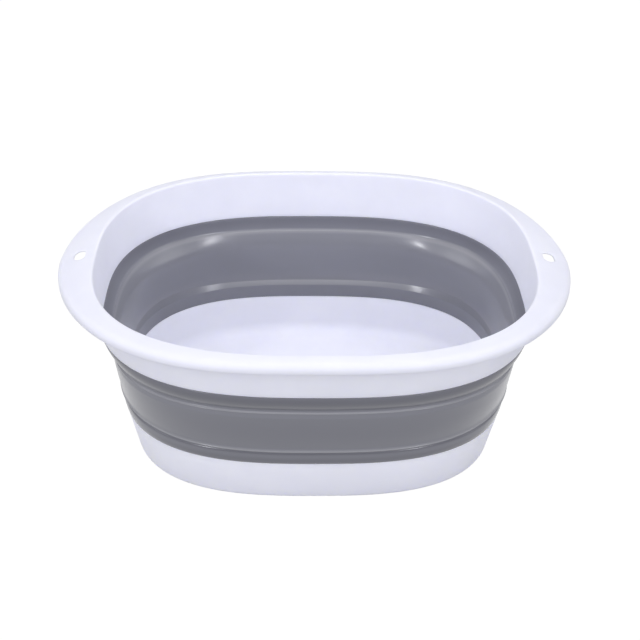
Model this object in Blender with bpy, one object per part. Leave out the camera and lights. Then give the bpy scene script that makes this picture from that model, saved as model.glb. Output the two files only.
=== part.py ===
"""Collapsible camp washbasin.

An oval basin of three mouldings: a stiff tray, a soft wall and a stiff rim frame with a hand grip
at each end. The soft wall folds at two living hinges. It is built as three rings that lap at the
hinges: a lower collar fixed to the tray, a folding band, and an upper collar fixed to the rim
frame. When the rim frame is pushed down the band turns over, and its middle goes down half as far.

Metres. +Z is up, +X runs along the basin, and the tray's foot stands on z = 0.
Every section is drawn as offsets from one oval outline, measured along that outline's normals.
"""

import math

import bmesh
import bpy
from mathutils import Vector

# Plan of the whole basin
LENGTH = 0.420
WIDTH = 0.303
GRIP_REACH = 0.0554
LIP_REACH = 0.0362
WALL_POWER = 2.8
RIM_END_POWER = 3.0
RIM_SIDE_POWER = 1.8
STATIONS = 84

# Heights of the five rings, from the table up
TRAY_HEIGHT = 0.0430
LOWER_COLLAR_HEIGHT = 0.0143
BAND_HEIGHT = 0.0515
UPPER_COLLAR_HEIGHT = 0.0143
RIM_HEIGHT = 0.0407

# Fits
CLEARANCE = 0.0003

# Tray
SEAM_WALL = 0.0028
FLOOR_WALL = 0.0024
TRAY_DRAFT = math.radians(10.5)
FOOT_RADIUS = 0.005
FOOT_WIDTH = 0.003
FOOT_RISE = 0.0035
FLOOR_FILLET = 0.008

# Tongues of the stiff mouldings, held in grooves of the soft wall
TONGUE_WALL = 0.0009
TONGUE_DEPTH = 0.0030

# Soft wall
SOFT_WALL = 0.0022
HINGE_WALL = 0.0014
HINGE_LAP = 0.0030
LOWER_LEAN = 0.0015
LOWER_BULGE = 0.0003
BAND_FLARE = 0.0085
BAND_BULGE_SHARE = 0.19
END_TUCK = 0.0030
UPPER_LEAN = 0.0005
UPPER_BULGE = 0.0006
COLLAR_STEPS = 4
BAND_STEPS = 6

# Rim frame
RIM_WALL = 0.0023
RIM_DRAFT = math.radians(5.4)
RIM_FALL = math.radians(11)
INNER_FILLET = 0.005
ROLL_RADIUS = 0.0055
LIP_SKIRT = 0.0040
ARC_STEPS = 4
UNDER_STEPS = 2

# Hanging holes through the grips
HOLE_INSET = 0.018
HOLE_WIDTH = 0.009
HOLE_LENGTH = 0.012
HOLE_STEPS = 10

WHITE_PLASTIC = (0.84, 0.84, 0.90)
GREY_ELASTOMER = (0.19, 0.19, 0.21)


def clear_scene():
    """Remove every object that the scene starts with."""
    for item in list(bpy.data.objects):
        bpy.data.objects.remove(item, do_unlink=True)


def make_material(name, colour, roughness):
    """Return an opaque plastic of one colour."""
    material = bpy.data.materials.new(name)
    material.use_nodes = True
    shader = material.node_tree.nodes["Principled BSDF"]
    shader.inputs["Base Color"].default_value = (*colour, 1.0)
    shader.inputs["Roughness"].default_value = roughness
    shader.inputs["Metallic"].default_value = 0.0
    return material


def add_object(name, mesh_data, material, height, parent):
    """Give a filled bmesh an object of its own, with its origin on the basin's axis."""
    bmesh.ops.recalc_face_normals(mesh_data, faces=mesh_data.faces)
    mesh = bpy.data.meshes.new(name)
    mesh_data.to_mesh(mesh)
    mesh_data.free()
    mesh.materials.append(material)
    mesh.shade_smooth()
    mesh.set_sharp_from_angle(angle=math.radians(35))
    item = bpy.data.objects.new(name, mesh)
    bpy.context.scene.collection.objects.link(item)
    item.parent = parent
    item.location = (0.0, 0.0, height)
    if parent is not None:
        item.location.z -= parent.location.z
    return item


def add_slide(name, height):
    """Add the empty that a moving ring is parented to, on the basin's axis."""
    slide = bpy.data.objects.new(name, None)
    slide.empty_display_type = "SINGLE_ARROW"
    slide.empty_display_size = BAND_HEIGHT
    slide.location = (0.0, 0.0, height)
    bpy.context.scene.collection.objects.link(slide)
    return slide


def outline_level(point, half_length, half_width, end_power, side_power):
    """Tell how far out a point lies: 1 on the outline, less inside it."""
    along = abs(point.x / half_length) ** end_power
    across = abs(point.y / half_width) ** side_power
    return along + across


def wall_station(index):
    """Return a point of the wall's oval at table height, and the outward normal there."""
    half_length = LENGTH / 2 - GRIP_REACH
    half_width = WIDTH / 2 - LIP_REACH
    turn = math.tau * index / STATIONS
    cosine = math.cos(turn)
    sine = math.sin(turn)
    stretch = (abs(cosine) ** WALL_POWER + abs(sine) ** WALL_POWER) ** (-1 / WALL_POWER)
    point = Vector((half_length * cosine * stretch, half_width * sine * stretch))
    slope_along = math.copysign(abs(point.x / half_length) ** (WALL_POWER - 1), point.x) / half_length
    slope_across = math.copysign(abs(point.y / half_width) ** (WALL_POWER - 1), point.y) / half_width
    return point, Vector((slope_along, slope_across)).normalized()


def rim_reach(point, normal):
    """Return how far the rim's outer edge lies from a wall station, along its normal."""
    near = 0.0
    far = GRIP_REACH + LIP_REACH
    while far - near > CLEARANCE / 100:
        middle = (near + far) / 2
        reached = point + normal * middle
        if outline_level(reached, LENGTH / 2, WIDTH / 2, RIM_END_POWER, RIM_SIDE_POWER) < 1:
            near = middle
        else:
            far = middle
    return near


def extrude_loop(mesh_data, corners, edges):
    """Extrude a closed loop of edges once, and return the new loop's corners and edges in order."""
    grown = bmesh.ops.extrude_edge_only(mesh_data, edges=edges)
    added = {item for item in grown["geom"] if isinstance(item, bmesh.types.BMVert)}
    new_corners = []
    for corner in corners:
        neighbours = [edge.other_vert(corner) for edge in corner.link_edges]
        new_corners.extend(neighbour for neighbour in neighbours if neighbour in added)
    following = new_corners[1:] + new_corners[:1]
    new_edges = [mesh_data.edges.get(pair) for pair in zip(new_corners, following)]
    return new_corners, new_edges


def loft_rings(section_at, closed):
    """Loft a section round the oval: a loop of edges is extruded from each point to the next.

    section_at gives a station's section as (offset, height) pairs. A closed section makes a ring
    with a hole through it. An open one starts and ends on a flat face that fills the oval.
    """
    stations = [wall_station(index) for index in range(STATIONS)]
    sections = [section_at(point, normal) for point, normal in stations]
    rows = []
    for place in range(len(sections[0])):
        row = []
        for (point, normal), section in zip(stations, sections):
            offset, height = section[place]
            row.append((point + normal * offset).to_3d() + Vector((0.0, 0.0, height)))
        rows.append(row)

    mesh_data = bmesh.new()
    first = [mesh_data.verts.new(spot) for spot in rows[0]]
    first_edges = [mesh_data.edges.new(pair) for pair in zip(first, first[1:] + first[:1])]
    corners, edges = first, first_edges
    for row in rows[1:]:
        corners, edges = extrude_loop(mesh_data, corners, edges)
        for corner, spot in zip(corners, row):
            corner.co = spot
    if closed:
        corners, edges = extrude_loop(mesh_data, corners, edges)
        bmesh.ops.weld_verts(mesh_data, targetmap=dict(zip(corners, first)))
    else:
        bmesh.ops.edgeloop_fill(mesh_data, edges=first_edges)
        bmesh.ops.edgeloop_fill(mesh_data, edges=edges)
    return mesh_data


def arc(centre, radius, start, end, steps):
    """Return points on an arc of a section, from one angle to another."""
    points = []
    for step in range(steps + 1):
        angle = start + (end - start) * step / steps
        points.append((centre[0] + radius * math.cos(angle), centre[1] + radius * math.sin(angle)))
    return points


def bulged_line(start, end, bulge, steps):
    """Return points from start to end that swell outwards by bulge halfway."""
    points = []
    for step in range(steps + 1):
        share = step / steps
        offset = start[0] + (end[0] - start[0]) * share + 4 * bulge * share * (1 - share)
        points.append((offset, start[1] + (end[1] - start[1]) * share))
    return points


def tongue_points(outer, height, direction):
    """Return a tongue in the middle of a stiff seam face, from its outer side to its inner side."""
    middle = outer - SEAM_WALL / 2
    tip = height + direction * TONGUE_DEPTH
    return [
        (middle + TONGUE_WALL / 2, height),
        (middle + TONGUE_WALL / 2, tip),
        (middle - TONGUE_WALL / 2, tip),
        (middle - TONGUE_WALL / 2, height),
    ]


def groove_points(outer, height, direction):
    """Return the groove of a soft seam face that takes the tongue with clearance all round."""
    middle = outer - SEAM_WALL / 2
    half_groove = TONGUE_WALL / 2 + CLEARANCE
    bottom = height + direction * TONGUE_DEPTH
    return [
        (middle + half_groove, height),
        (middle + half_groove, bottom),
        (middle - half_groove, bottom),
        (middle - half_groove, height),
    ]


def tray_outer_at(height):
    """Return the offset of the tray's outer face at a height."""
    return height * math.tan(TRAY_DRAFT)


# Heights where the rings meet, and offsets chained outwards from the tray
LOWER_FOLD = TRAY_HEIGHT + LOWER_COLLAR_HEIGHT
UPPER_FOLD = LOWER_FOLD + BAND_HEIGHT
UPPER_SEAM = UPPER_FOLD + UPPER_COLLAR_HEIGHT
LOWER_SEAM_OUTER = tray_outer_at(TRAY_HEIGHT)
LOWER_COLLAR_EDGE = LOWER_SEAM_OUTER + LOWER_LEAN
BAND_FOOT_OUTER = LOWER_COLLAR_EDGE + CLEARANCE + HINGE_WALL
UPPER_SEAM_OUTER = BAND_FOOT_OUTER + BAND_FLARE + CLEARANCE + UPPER_LEAN + SEAM_WALL


def band_flare(normal):
    """Return how much wider the band is at its head, which is tucked in a little at both ends."""
    return BAND_FLARE - END_TUCK * normal.x ** 2


def tray_section(point, normal):
    """Section of the tray, from its underside out round the foot, up the wall and down to the floor.

    The floor keeps one thickness as it curves up into the wall, which leaves a hollow underneath,
    inside the ring that the basin stands on.
    """
    tilt = (1 - math.sin(TRAY_DRAFT)) / math.cos(TRAY_DRAFT)
    wall_shift = SEAM_WALL / math.cos(TRAY_DRAFT)
    floor = FOOT_RISE + FLOOR_WALL
    foot_centre = (-FOOT_RADIUS * tilt, FOOT_RADIUS)
    foot_inner = foot_centre[0] - FOOT_WIDTH
    fillet_centre = (tray_outer_at(floor) - wall_shift - FLOOR_FILLET * tilt, floor + FLOOR_FILLET)
    under_radius = FLOOR_FILLET + FLOOR_WALL
    under_end = -math.acos((foot_inner - fillet_centre[0]) / under_radius)
    points = arc(fillet_centre, under_radius, -math.pi / 2, under_end, UNDER_STEPS)
    points.append((foot_inner, 0.0))
    points += arc(foot_centre, FOOT_RADIUS, -math.pi / 2, -TRAY_DRAFT, ARC_STEPS)
    points.append((LOWER_SEAM_OUTER, TRAY_HEIGHT))
    points += tongue_points(LOWER_SEAM_OUTER, TRAY_HEIGHT, 1)
    points.append((LOWER_SEAM_OUTER - SEAM_WALL, TRAY_HEIGHT))
    points += arc(fillet_centre, FLOOR_FILLET, -TRAY_DRAFT, -math.pi / 2, ARC_STEPS)
    return points


def lower_collar_section(point, normal):
    """Section of the lower collar, which leans out to the lower hinge."""
    top = LOWER_COLLAR_HEIGHT + HINGE_LAP / 2
    outer = bulged_line((LOWER_SEAM_OUTER, CLEARANCE), (LOWER_COLLAR_EDGE, top), LOWER_BULGE, COLLAR_STEPS)
    inner_top = (LOWER_COLLAR_EDGE - HINGE_WALL, top)
    inner_foot = (LOWER_SEAM_OUTER - SEAM_WALL, CLEARANCE)
    inner = bulged_line(inner_top, inner_foot, LOWER_BULGE, COLLAR_STEPS)
    groove = groove_points(LOWER_SEAM_OUTER, CLEARANCE, 1)
    return outer + inner + groove[::-1]


def band_section(point, normal):
    """Section of the folding band, thin at both hinges and full between them."""
    foot = -HINGE_LAP / 2
    head = BAND_HEIGHT + HINGE_LAP / 2
    flare = band_flare(normal)
    bulge = flare * BAND_BULGE_SHARE
    outer = bulged_line((BAND_FOOT_OUTER, foot), (BAND_FOOT_OUTER + flare, head), bulge, BAND_STEPS)
    inner_bulge = bulge - (SOFT_WALL - HINGE_WALL)
    inner_head = (BAND_FOOT_OUTER + flare - HINGE_WALL, head)
    inner_foot = (BAND_FOOT_OUTER - HINGE_WALL, foot)
    return outer + bulged_line(inner_head, inner_foot, inner_bulge, BAND_STEPS)


def upper_collar_section(point, normal):
    """Section of the upper collar, from the upper hinge to the groove under the rim frame."""
    foot = -HINGE_LAP / 2
    top = UPPER_COLLAR_HEIGHT - CLEARANCE
    edge = BAND_FOOT_OUTER + band_flare(normal) + CLEARANCE
    outer = bulged_line((edge + HINGE_WALL, foot), (UPPER_SEAM_OUTER, top), UPPER_BULGE, COLLAR_STEPS)
    inner_top = (UPPER_SEAM_OUTER - SEAM_WALL, top)
    inner_foot = (edge, foot)
    inner = bulged_line(inner_top, inner_foot, UPPER_BULGE, COLLAR_STEPS)
    return outer + groove_points(UPPER_SEAM_OUTER, top, -1) + inner


def rim_section(point, normal):
    """Section of the rim frame: wall, rounded crest, falling flange and rolled lip.

    The flange is as wide as the rim's outline allows here, so it is narrow along the sides and
    grows into a grip at each end.
    """
    reach = rim_reach(point, normal)
    seam_inner = UPPER_SEAM_OUTER - SEAM_WALL
    crest_height = RIM_HEIGHT - INNER_FILLET
    crest = (seam_inner + crest_height * math.tan(RIM_DRAFT) + INNER_FILLET / math.cos(RIM_DRAFT), crest_height)
    flat_angle = math.pi / 2 - RIM_FALL
    wall_angle = math.pi - RIM_DRAFT
    roll_offset = reach - ROLL_RADIUS
    fall = (roll_offset - crest[0]) * math.tan(RIM_FALL)
    round_change = (INNER_FILLET - ROLL_RADIUS) / math.cos(RIM_FALL)
    roll = (roll_offset, crest_height - fall + round_change)
    lip_foot = roll[1] - LIP_SKIRT
    points = [(seam_inner, 0.0)]
    points += arc(crest, INNER_FILLET, wall_angle, flat_angle, ARC_STEPS)
    points += arc(roll, ROLL_RADIUS, flat_angle, 0.0, ARC_STEPS)
    points += [(reach, lip_foot), (reach - RIM_WALL, lip_foot)]
    points += arc(roll, ROLL_RADIUS - RIM_WALL, 0.0, flat_angle, ARC_STEPS - 1)
    points += arc(crest, INNER_FILLET - RIM_WALL, flat_angle, wall_angle, ARC_STEPS - 1)
    points.append((UPPER_SEAM_OUTER, 0.0))
    points += tongue_points(UPPER_SEAM_OUTER, 0.0, -1)
    return points


def add_hole_cutter(name, side, parent):
    """Add the slot-shaped cutter of one hanging hole."""
    mesh_data = bmesh.new()
    radius = HOLE_WIDTH / 2
    straight = (HOLE_LENGTH - HOLE_WIDTH) / 2
    corners = []
    for end in (1, -1):
        for step in range(HOLE_STEPS + 1):
            angle = math.pi * step / HOLE_STEPS + (0.0 if end == 1 else math.pi)
            across = radius * math.cos(angle)
            along = radius * math.sin(angle) + end * straight
            corners.append(mesh_data.verts.new((across, along, 0.0)))
    face = mesh_data.faces.new(corners)
    grown = bmesh.ops.extrude_face_region(mesh_data, geom=[face])
    top = [item for item in grown["geom"] if isinstance(item, bmesh.types.BMVert)]
    bmesh.ops.translate(mesh_data, verts=top, vec=(0.0, 0.0, RIM_HEIGHT))
    bmesh.ops.recalc_face_normals(mesh_data, faces=mesh_data.faces)
    mesh = bpy.data.meshes.new(name)
    mesh_data.to_mesh(mesh)
    mesh_data.free()
    cutter = bpy.data.objects.new(name, mesh)
    bpy.context.scene.collection.objects.link(cutter)
    cutter.parent = parent
    cutter.location = (side * (LENGTH / 2 - HOLE_INSET), 0.0, UPPER_SEAM + RIM_HEIGHT / 2 - UPPER_FOLD)
    cutter.display_type = "WIRE"
    cutter.hide_render = True
    return cutter


def cut_hanging_holes(rim, parent):
    """Cut both hanging holes through the grips."""
    for side, word in ((-1, "left"), (1, "right")):
        cutter = add_hole_cutter(word + "_hole_cutter", side, parent)
        cut = rim.modifiers.new(word + "_hanging_hole", "BOOLEAN")
        cut.operation = "DIFFERENCE"
        cut.solver = "EXACT"
        cut.object = cutter


def build_basin():
    """Build the five pieces, from the table up."""
    white = make_material("white_plastic", WHITE_PLASTIC, 0.38)
    grey = make_material("grey_elastomer", GREY_ELASTOMER, 0.45)
    band_slide = add_slide("band_slide", LOWER_FOLD)
    rim_slide = add_slide("rim_slide", UPPER_FOLD)

    add_object("base_tray", loft_rings(tray_section, False), white, 0.0, None)
    add_object("lower_collar", loft_rings(lower_collar_section, True), grey, TRAY_HEIGHT, None)
    add_object("folding_band", loft_rings(band_section, True), grey, LOWER_FOLD, band_slide)
    add_object("upper_collar", loft_rings(upper_collar_section, True), grey, UPPER_FOLD, rim_slide)
    rim = add_object("rim_frame", loft_rings(rim_section, True), white, UPPER_SEAM, rim_slide)
    cut_hanging_holes(rim, rim_slide)


clear_scene()
build_basin()
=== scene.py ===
"""Collapsible camp washbasin, finished.

Three mouldings are built round the packed frame: a satin white rim frame with a grip and a hanging
hole at each end, a semi-gloss grey soft wall that folds at two living hinges, and a satin white
tray. Every section is drawn as offsets from one oval outline, measured along that outline's
normals, and is lofted round it.

Metres. +Z is up, +X runs along the basin, and the tray's foot stands on z = 0.
"""

import math

import bmesh
import bpy
from bpy.props import FloatProperty, FloatVectorProperty, IntProperty, PointerProperty
from mathutils import Matrix, Quaternion, Vector, noise
from mathutils.geometry import interpolate_bezier


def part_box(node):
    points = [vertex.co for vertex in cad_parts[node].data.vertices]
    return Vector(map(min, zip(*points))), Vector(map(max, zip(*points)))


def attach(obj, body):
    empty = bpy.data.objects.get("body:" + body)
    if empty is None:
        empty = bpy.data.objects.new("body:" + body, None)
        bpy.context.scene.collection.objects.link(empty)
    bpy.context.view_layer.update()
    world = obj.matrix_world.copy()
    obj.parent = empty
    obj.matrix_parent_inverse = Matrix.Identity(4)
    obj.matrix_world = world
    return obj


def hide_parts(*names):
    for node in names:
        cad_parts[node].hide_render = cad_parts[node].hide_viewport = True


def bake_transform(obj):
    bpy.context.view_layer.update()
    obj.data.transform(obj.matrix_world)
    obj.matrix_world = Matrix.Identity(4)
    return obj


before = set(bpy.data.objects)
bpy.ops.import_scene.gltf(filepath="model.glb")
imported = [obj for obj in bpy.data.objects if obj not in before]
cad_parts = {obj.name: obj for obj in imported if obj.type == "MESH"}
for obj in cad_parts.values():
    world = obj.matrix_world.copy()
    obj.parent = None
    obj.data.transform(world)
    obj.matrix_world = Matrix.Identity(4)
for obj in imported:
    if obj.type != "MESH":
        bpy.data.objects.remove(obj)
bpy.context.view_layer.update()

bl_info = {
    "name": "Collapsible Camp Washbasin",
    "version": (1, 0, 0),
    "blender": (4, 5, 0),
    "location": "3D View > Sidebar > Washbasin",
    "description": "Builds the finished mouldings of a collapsible camp washbasin round its frame",
    "category": "Add Mesh",
}

# Drafts and laps that the frame's boxes don't give
TRAY_DRAFT = math.radians(10.5)
TONGUE_DEPTH = 0.0030
HINGE_LAP = 0.0030

# How far the finished tray and the rim's crest reach above the frame's
SEAM_RISE = 0.0011
CREST_RISE = 0.0010

# Heights and reaches, read from the frame
TRAY_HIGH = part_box("base_tray")[1]
COLLAR_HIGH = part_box("lower_collar")[1]
BAND_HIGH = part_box("folding_band")[1]
UPPER_LOW, UPPER_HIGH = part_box("upper_collar")
RIM_LOW, RIM_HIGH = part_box("rim_frame")
TRAY_HEIGHT = TRAY_HIGH.z - TONGUE_DEPTH
LOWER_FOLD = COLLAR_HIGH.z - HINGE_LAP / 2
UPPER_FOLD = UPPER_LOW.z + HINGE_LAP / 2
UPPER_SEAM = RIM_LOW.z + TONGUE_DEPTH
TRAY_SEAM_OFFSET = TRAY_HEIGHT * math.tan(TRAY_DRAFT)
WALL_HALF_LENGTH = TRAY_HIGH.x - TRAY_SEAM_OFFSET
WALL_HALF_WIDTH = TRAY_HIGH.y - TRAY_SEAM_OFFSET

# Shares that shape the soft wall's section
BAND_START_SHARE = 1.5
NOTCH_LIFT_SHARE = 0.6
SILL_PULL_SHARE = 0.25
LEDGE_HANDLE_SHARES = (0.77, 0.45)
FOOT_HANDLE_SHARE = 0.27
WAVE_STRETCH = 1.6

# Steps and angles of the small forms
REACH_HALVINGS = 40
UNDERSIDE_STEPS = 2
NUB_SEGMENTS = (16, 10)
HOLE_STEPS = 16
HOLE_EDGE_STEPS = 6
HOLE_FLARE = math.radians(75)
SHARP_ANGLE = math.radians(45)

# Spans of noise that show as mottle, hairlines and worn patches
WHOLE_SPAN = (0.0, 1.0)
MOTTLE_SPAN = (0.32, 0.68)
HAIR_SPAN = (0.66, 0.72)
PATCH_SPAN = (0.5, 0.68)

# Hairline scuffs: the turn of each set, and how far it is drawn out
HAIR_SETS = ((0.5, 0.045), (-0.9, 0.06))
FURROW_SHARE = 0.5
BUMP_STRENGTH = 0.5

# Large soft lights, in degrees: round from the front, up, and how wide they look from the basin
KEY_PLACE = (0.0, 45.0, 40.0)
SIDE_PLACE = (75.0, 20.0, 30.0)
RIGHT_SIDE_SHARE = 0.8

# Small soft boxes that the folds mirror
GLINT_DISTANCE = 1.2
GLINT_RISE = math.radians(20.0)
RIGHT_GLINT_TURN = math.radians(31.0)
RIGHT_GLINT_SIZE = (0.25, 0.16)
RIGHT_GLINT_SHARE = 0.9
LEFT_GLINT_TURN = math.radians(-34.0)
LEFT_GLINT_SIZE = (0.13, 0.07)

# Gridded soft box overhead, and the floor just under the basin
BEAM_SIZE = (0.28, 0.14)
BEAM_HEIGHT = 0.80
BEAM_LEAN = 0.01
BEAM_SPREAD = math.radians(28.0)
FLOOR_GAP = 0.0001
WHITE_LIGHT = (1.0, 1.0, 1.0)


def metres(name, description, default):
    """Return a setting that is a length."""
    return FloatProperty(name=name, description=description, default=default, precision=5, unit="LENGTH")


def round_metres(name, description, default):
    """Return a setting that is a length at the sides, one at the ends, and what the corners add."""
    description += ": at the sides, at the ends, and what the corners add"
    return FloatVectorProperty(
        name=name, description=description, default=default, precision=5, unit="LENGTH"
    )


def degrees(name, description, default):
    """Return a setting that is an angle, with its default in degrees."""
    turn = math.radians(default)
    return FloatProperty(name=name, description=description, default=turn, unit="ROTATION")


def factor(name, description, default, least=0.0, **kind):
    """Return a setting that is a plain number, unless its kind gives it a unit or subtype."""
    return FloatProperty(
        name=name, description=description, default=default, precision=4, min=least, **kind
    )


def count(name, description, default, least):
    """Return a setting that is a whole number."""
    return IntProperty(name=name, description=description, default=default, min=least)


def shade(name, description, default):
    """Return a setting that is a colour."""
    return FloatVectorProperty(
        name=name, description=description, default=default, subtype="COLOR", min=0.0, max=1.0
    )


class BasinOutline(bpy.types.PropertyGroup):
    """The two ovals that the basin is lofted between, and how finely."""

    wall_half_length: metres(
        "Wall Half Length", "From the middle to the wall's end, at the table", WALL_HALF_LENGTH
    )
    wall_half_width: metres(
        "Wall Half Width", "From the middle to the wall's side, at the table", WALL_HALF_WIDTH
    )
    wall_power: factor("Wall Squareness", "2 makes an ellipse, more makes flatter ends and sides", 2.8, 1.0)
    rim_half_length: metres("Rim Half Length", "From the middle to a grip's outer edge", RIM_HIGH.x)
    rim_half_width: metres(
        "Rim Half Width", "From the middle to the rim's outer edge at the sides", RIM_HIGH.y
    )
    rim_end_power: factor("Rim End Roundness", "How full the rim is towards its ends", 3.0, 1.0)
    rim_side_power: factor("Rim Side Roundness", "How full the rim is towards its sides", 1.8, 1.0)
    stations: count("Stations", "Sections round the oval", 288, 16)
    arc_steps: count("Arc Steps", "Segments in each large round of a section", 9, 2)
    edge_steps: count("Edge Steps", "Segments in each small rounded edge", 3, 1)


class BasinHeights(bpy.types.PropertyGroup):
    """Where the mouldings meet and fold, above the table."""

    tray_top: metres("Tray Top", "Seam between the tray and the soft wall", TRAY_HEIGHT + SEAM_RISE)
    lower_fold: metres("Lower Fold", "Hinge between the lower collar and the band", LOWER_FOLD)
    upper_fold: metres("Upper Fold", "Hinge between the band and the upper collar", UPPER_FOLD)
    rim_foot: metres("Rim Foot", "Seam between the soft wall and the rim frame", UPPER_SEAM)
    crest: metres("Crest", "Highest line of the rim", RIM_HIGH.z + CREST_RISE)


class SeamSizes(bpy.types.PropertyGroup):
    """The keyed seams between the stiff and the soft mouldings."""

    wall: metres("Seam Wall", "Thickness of every moulding at a seam", 0.0028)
    tongue_inset: metres("Tongue Inset", "From the wall's outer face to the middle of the tongue", 0.0016)
    tongue_wall: metres("Tongue Wall", "Thickness of the stiff tongue", 0.0007)
    tongue_depth: metres("Tongue Depth", "How far the tongue reaches into the soft wall", 0.0020)
    groove_play: metres("Groove Play", "Gap between the tongue and its groove", 0.0002)
    parting: metres("Parting", "Gap between the two seam faces", 0.00012)
    inner_drop: metres("Inner Drop", "How far the rim seam's inner edge lies below its outer edge", 0.0010)
    edge: metres("Seam Edge", "Rounding of the edges along a seam", 0.0006)


class RimSizes(bpy.types.PropertyGroup):
    """The rim frame's section and its hanging holes."""

    wall: metres("Wall", "Thickness of the flange and the lip", 0.0018)
    draft: degrees("Draft", "Lean of the upright wall", 5.4)
    fall: degrees("Fall", "Slope of the flange, down towards its outer edge", 12.3)
    crest_radius: metres("Crest Radius", "Round between the upright wall and the flange", 0.0019)
    roll_radius: metres("Roll Radius", "Round where the flange turns down", 0.0065)
    skirt: metres("Skirt", "Upright part of the lip below its roll", 0.0030)
    lip_edge: metres("Lip Edge", "Rounding of the lip's lower edge", 0.0009)
    hole_inset: metres("Hole Inset", "From a grip's outer edge to the middle of its hole", 0.0172)
    hole_width: metres("Hole Width", "Across the slot, along the basin", 0.0092)
    hole_length: metres("Hole Length", "Along the slot, across the basin", 0.0135)
    hole_edge: metres("Hole Edge", "Rounding of the hole's edges", 0.0009)


class WallSizes(bpy.types.PropertyGroup):
    """The soft wall's section: collars, hinges and the band between them."""

    panel: metres("Panel", "Thickness of the band at its foot", 0.0036)
    web: metres("Web", "Thickness of the wall at the upper hinge", 0.0011)
    lower_lean: metres("Lower Lean", "How far the lower collar leans out", COLLAR_HIGH.x - TRAY_HIGH.x)
    collar_bulge: metres("Collar Bulge", "Swell of the lower collar's outer face halfway up", 0.0005)
    band_bulge: metres("Band Bulge", "Swell of the band's outer face halfway up", 0.0003)
    upper_bulge: metres("Upper Bulge", "Swell of the upper collar's outer face halfway up", 0.0014)
    head: round_metres("Head", "Offset of the band's head", (BAND_HIGH.y - WALL_HALF_WIDTH, 0.0148, 0.0018))
    foot: round_metres("Foot", "Offset of the bead round the band's foot", (0.0128, 0.0118, -0.0015))
    top_offset: metres("Top Offset", "Offset of the wall at the rim frame", UPPER_HIGH.x - WALL_HALF_LENGTH)
    groove: metres("Groove", "Half height of the groove under the bead", 0.0012)
    groove_depth: metres("Groove Depth", "How deep the hinge's groove is cut behind the collar", 0.0006)
    bead: metres("Bead", "Radius of the bead round the band's foot", 0.0009)
    bead_rise: metres("Bead Rise", "How far the bead lies above the lower fold", 0.0032)
    bead_swell: metres("Bead Swell", "How far the bead stands out from the band", 0.0007)
    bead_turn: degrees("Bead Turn", "How far the bead's round goes each way from its outermost line", 50.0)
    crest: metres("Crest", "Radius of the crest round the band's head", 0.0006)
    crest_swell: metres("Crest Swell", "How far the crest stands out from the band", 0.0005)
    crest_turn: degrees("Crest Turn", "How far the crest's round goes up from its outermost line", 62.0)
    crease_drop: metres("Crease Drop", "How far the crest lies below the upper fold", 0.0042)
    shoulder: metres("Shoulder", "Round between the band and its upright head", 0.0040)
    shoulder_drop: metres(
        "Shoulder Drop", "How far the band's upright head reaches below the crest", 0.0048
    )
    cove_step: metres("Cove Step", "How far the upper collar's foot stands back from the crest", 0.0011)
    cove_rise: metres("Cove Rise", "How far the upper collar's foot lies above the crest", 0.0012)
    cove_height: metres(
        "Cove Height", "Upright height between the crest and the upper collar's foot", 0.0020
    )
    tuck: metres("Tuck", "How far the band pulls in again right under its crest", 0.0003)
    cove_round: metres("Cove Round", "Round between the upper collar's foot and the crest", 0.0007)
    notch_swell: metres(
        "Notch Swell", "How much further out and up the inner notch lies at the ends", 0.0025
    )
    notch_rise: metres("Notch Rise", "How far the inner notch lies above the upper fold", 0.0010)
    ledge_edge: metres(
        "Ledge Edge", "Height of the chamfer between the inner notch and the rounded ledge", 0.0010
    )
    ledge_foot: round_metres("Ledge Foot", "Offset of the rounded ledge's foot", (0.0124, 0.0098, -0.0030))
    ledge_drop: metres("Ledge Drop", "Height of the rounded ledge inside the upper fold", 0.0185)
    sill_rise: metres("Sill Rise", "How far the lower ledge starts above the lower fold", 0.0016)
    sill_swell: metres("Sill Swell", "How much the inner band's foot rises at the corners", 0.0026)
    corner_sill: metres("Corner Sill", "How much wider the inner band's foot stands at the corners", 0.0004)
    sill_drop: metres("Sill Drop", "How far the lower ledge ends below the lower fold", 0.0024)
    sill_round: metres("Sill Round", "Round between the lower ledge and the lower collar", 0.0016)
    edge: metres("Edge", "Rounding of the panels' edges", 0.0007)
    wave_height: metres("Wave Height", "How far the soft skin wanders from its true shape", 0.00022)
    wave_length: metres("Wave Length", "Distance over which the soft skin wanders", 0.026)
    band_steps: count("Band Steps", "Segments up the band", 22, 4)
    collar_steps: count("Collar Steps", "Segments up each collar", 7, 2)


class TraySizes(bpy.types.PropertyGroup):
    """The tray's section."""

    floor_wall: metres("Floor Wall", "Thickness of the floor", 0.0024)
    foot_radius: metres("Foot Radius", "Round between the foot and the wall", 0.005)
    foot_width: metres("Foot Width", "Width of the ring that the basin stands on", 0.003)
    foot_rise: metres("Foot Rise", "How far the floor lies above the table", 0.0035)
    fillet: metres("Floor Fillet", "Round between the floor and the wall", 0.014)
    nub: metres("Gate Nub", "Radius of the nub that the gate leaves on the top edge", 0.0009)
    inner_drop: metres("Inner Drop", "How far the top's inner edge lies below its outer edge", 0.0019)
    foot_edge: metres("Foot Edge", "Rounding of the foot's inner edge", 0.0008)
    floor_rings: count("Floor Rings", "Rings between the floor's edge and its middle", 9, 1)


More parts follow.
